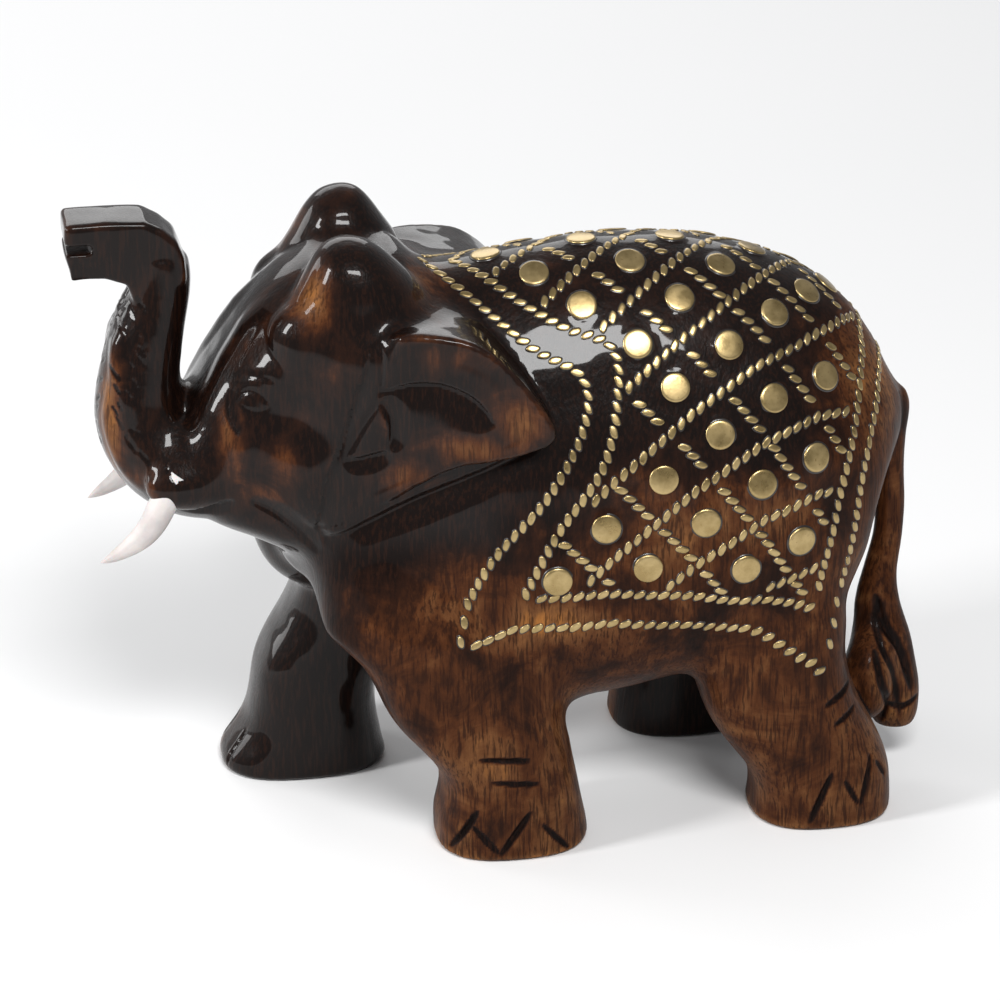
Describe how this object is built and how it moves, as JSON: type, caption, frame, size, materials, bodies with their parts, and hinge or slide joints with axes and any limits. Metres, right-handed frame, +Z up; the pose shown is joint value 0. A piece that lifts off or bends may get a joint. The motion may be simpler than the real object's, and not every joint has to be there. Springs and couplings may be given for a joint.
{
  "type": "elephant figurine",
  "caption": "Standing carved wooden elephant with raised trunk, small tusks and a back blanket pattern of brass discs and grain-shaped brass chips set into the wood.",
  "frame": {"origin": "on the floor under the middle of the elephant's bounding box", "axes": "+Z up, the head points along -X, the elephant's left flank is towards -Y"},
  "size_m": [0.1476, 0.0606, 0.1116],
  "materials": {
    "wood": "dark brown stain under thick gloss lacquer, rubbed lighter on the high spots",
    "tusk": "off-white, matte, bone-like",
    "brass": "pale brass, hammered flush and lacquered over"
  },
  "bodies": {
    "root": {"carved_body": "wood", "left_falling_strand_1": "brass", "left_falling_strand_2": "brass", "left_falling_strand_3": "brass", "left_falling_strand_4": "brass", "left_falling_strand_5": "brass", "left_falling_strand_6": "brass", "left_falling_strand_7": "brass", "left_inner_border_bottom": "brass", "left_inner_border_front": "brass", "left_inner_border_rear": "brass", "left_outer_border_bottom": "brass", "left_outer_border_front": "brass", "left_outer_border_rear": "brass", "left_rising_strand_1": "brass", "left_rising_strand_2": "brass", "left_rising_strand_3": "brass", "left_rising_strand_4": "brass", "left_rising_strand_5": "brass", "left_rising_strand_6": "brass", "left_rising_strand_7": "brass", "left_rising_strand_8": "brass", "left_studs": "brass", "left_tusk": "tusk", "right_falling_strand_1": "brass", "right_falling_strand_2": "brass", "right_falling_strand_3": "brass", "right_falling_strand_4": "brass", "right_falling_strand_5": "brass", "right_falling_strand_6": "brass", "right_falling_strand_7": "brass", "right_inner_border_bottom": "brass", "right_inner_border_front": "brass", "right_inner_border_rear": "brass", "right_outer_border_bottom": "brass", "right_outer_border_front": "brass", "right_outer_border_rear": "brass", "right_rising_strand_1": "brass", "right_rising_strand_2": "brass", "right_rising_strand_3": "brass", "right_rising_strand_4": "brass", "right_rising_strand_5": "brass", "right_rising_strand_6": "brass", "right_rising_strand_7": "brass", "right_rising_strand_8": "brass", "right_studs": "brass", "right_tusk": "tusk", "spine_studs": "brass"}
  },
  "joints": []
}
